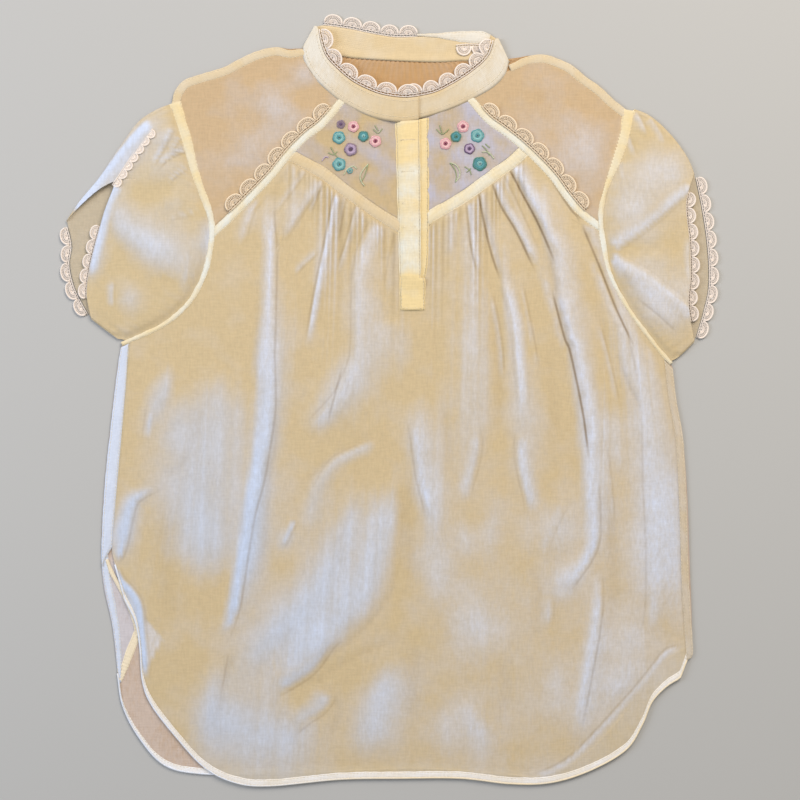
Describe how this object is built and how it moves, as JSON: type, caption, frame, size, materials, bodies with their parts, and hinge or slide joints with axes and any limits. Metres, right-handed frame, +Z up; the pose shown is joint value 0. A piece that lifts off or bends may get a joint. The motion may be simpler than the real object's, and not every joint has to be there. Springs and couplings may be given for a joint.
{
  "type": "blouse",
  "caption": "Short-sleeved gauze blouse with band collar, half placket, gathered front, lace edging and curved shirt-tail hem, laid flat.",
  "frame": {"origin": "centre of the bounding box in plan, on the surface that the blouse lies on", "axes": "+X across the garment to the right as it is seen from above, +Y from hem to collar, +Z up from the surface"},
  "size_m": [0.6062, 0.7103, 0.0116],
  "materials": {
    "gauze": "sheer plain-weave cotton gauze, matte",
    "band": "folded and stitched gauze, matte",
    "lace": "scalloped cotton lace, matte",
    "underside": "sheer plain-weave cotton gauze, matte"
  },
  "bodies": {
    "root": {"back_panel": "underside", "front_panel": "gauze", "front_yoke_left": "gauze", "front_yoke_right": "gauze", "shoulder_left": "gauze", "shoulder_right": "gauze", "shoulder_seam_left": "band", "shoulder_seam_right": "band", "sleeve_left": "gauze", "sleeve_right": "gauze", "collar_band": "band", "collar_lace_left": "lace", "collar_lace_right": "lace", "collar_lace_back": "lace", "collar_lace_turned": "lace", "placket_over": "band", "placket_under": "band", "yoke_band_left": "band", "yoke_band_right": "band", "raglan_band_left": "band", "raglan_band_right": "band", "armhole_band_left": "band", "armhole_band_right": "band", "side_seam_left": "band", "side_seam_right": "band", "raglan_lace_left": "lace", "raglan_lace_right": "lace", "yoke_lace_left": "lace", "yoke_lace_right": "lace", "sleeve_lace_left_back": "lace", "sleeve_lace_left_front": "lace", "sleeve_lace_left_top": "lace", "sleeve_lace_right_back": "lace", "sleeve_lace_right_front": "lace"}
  },
  "joints": []
}
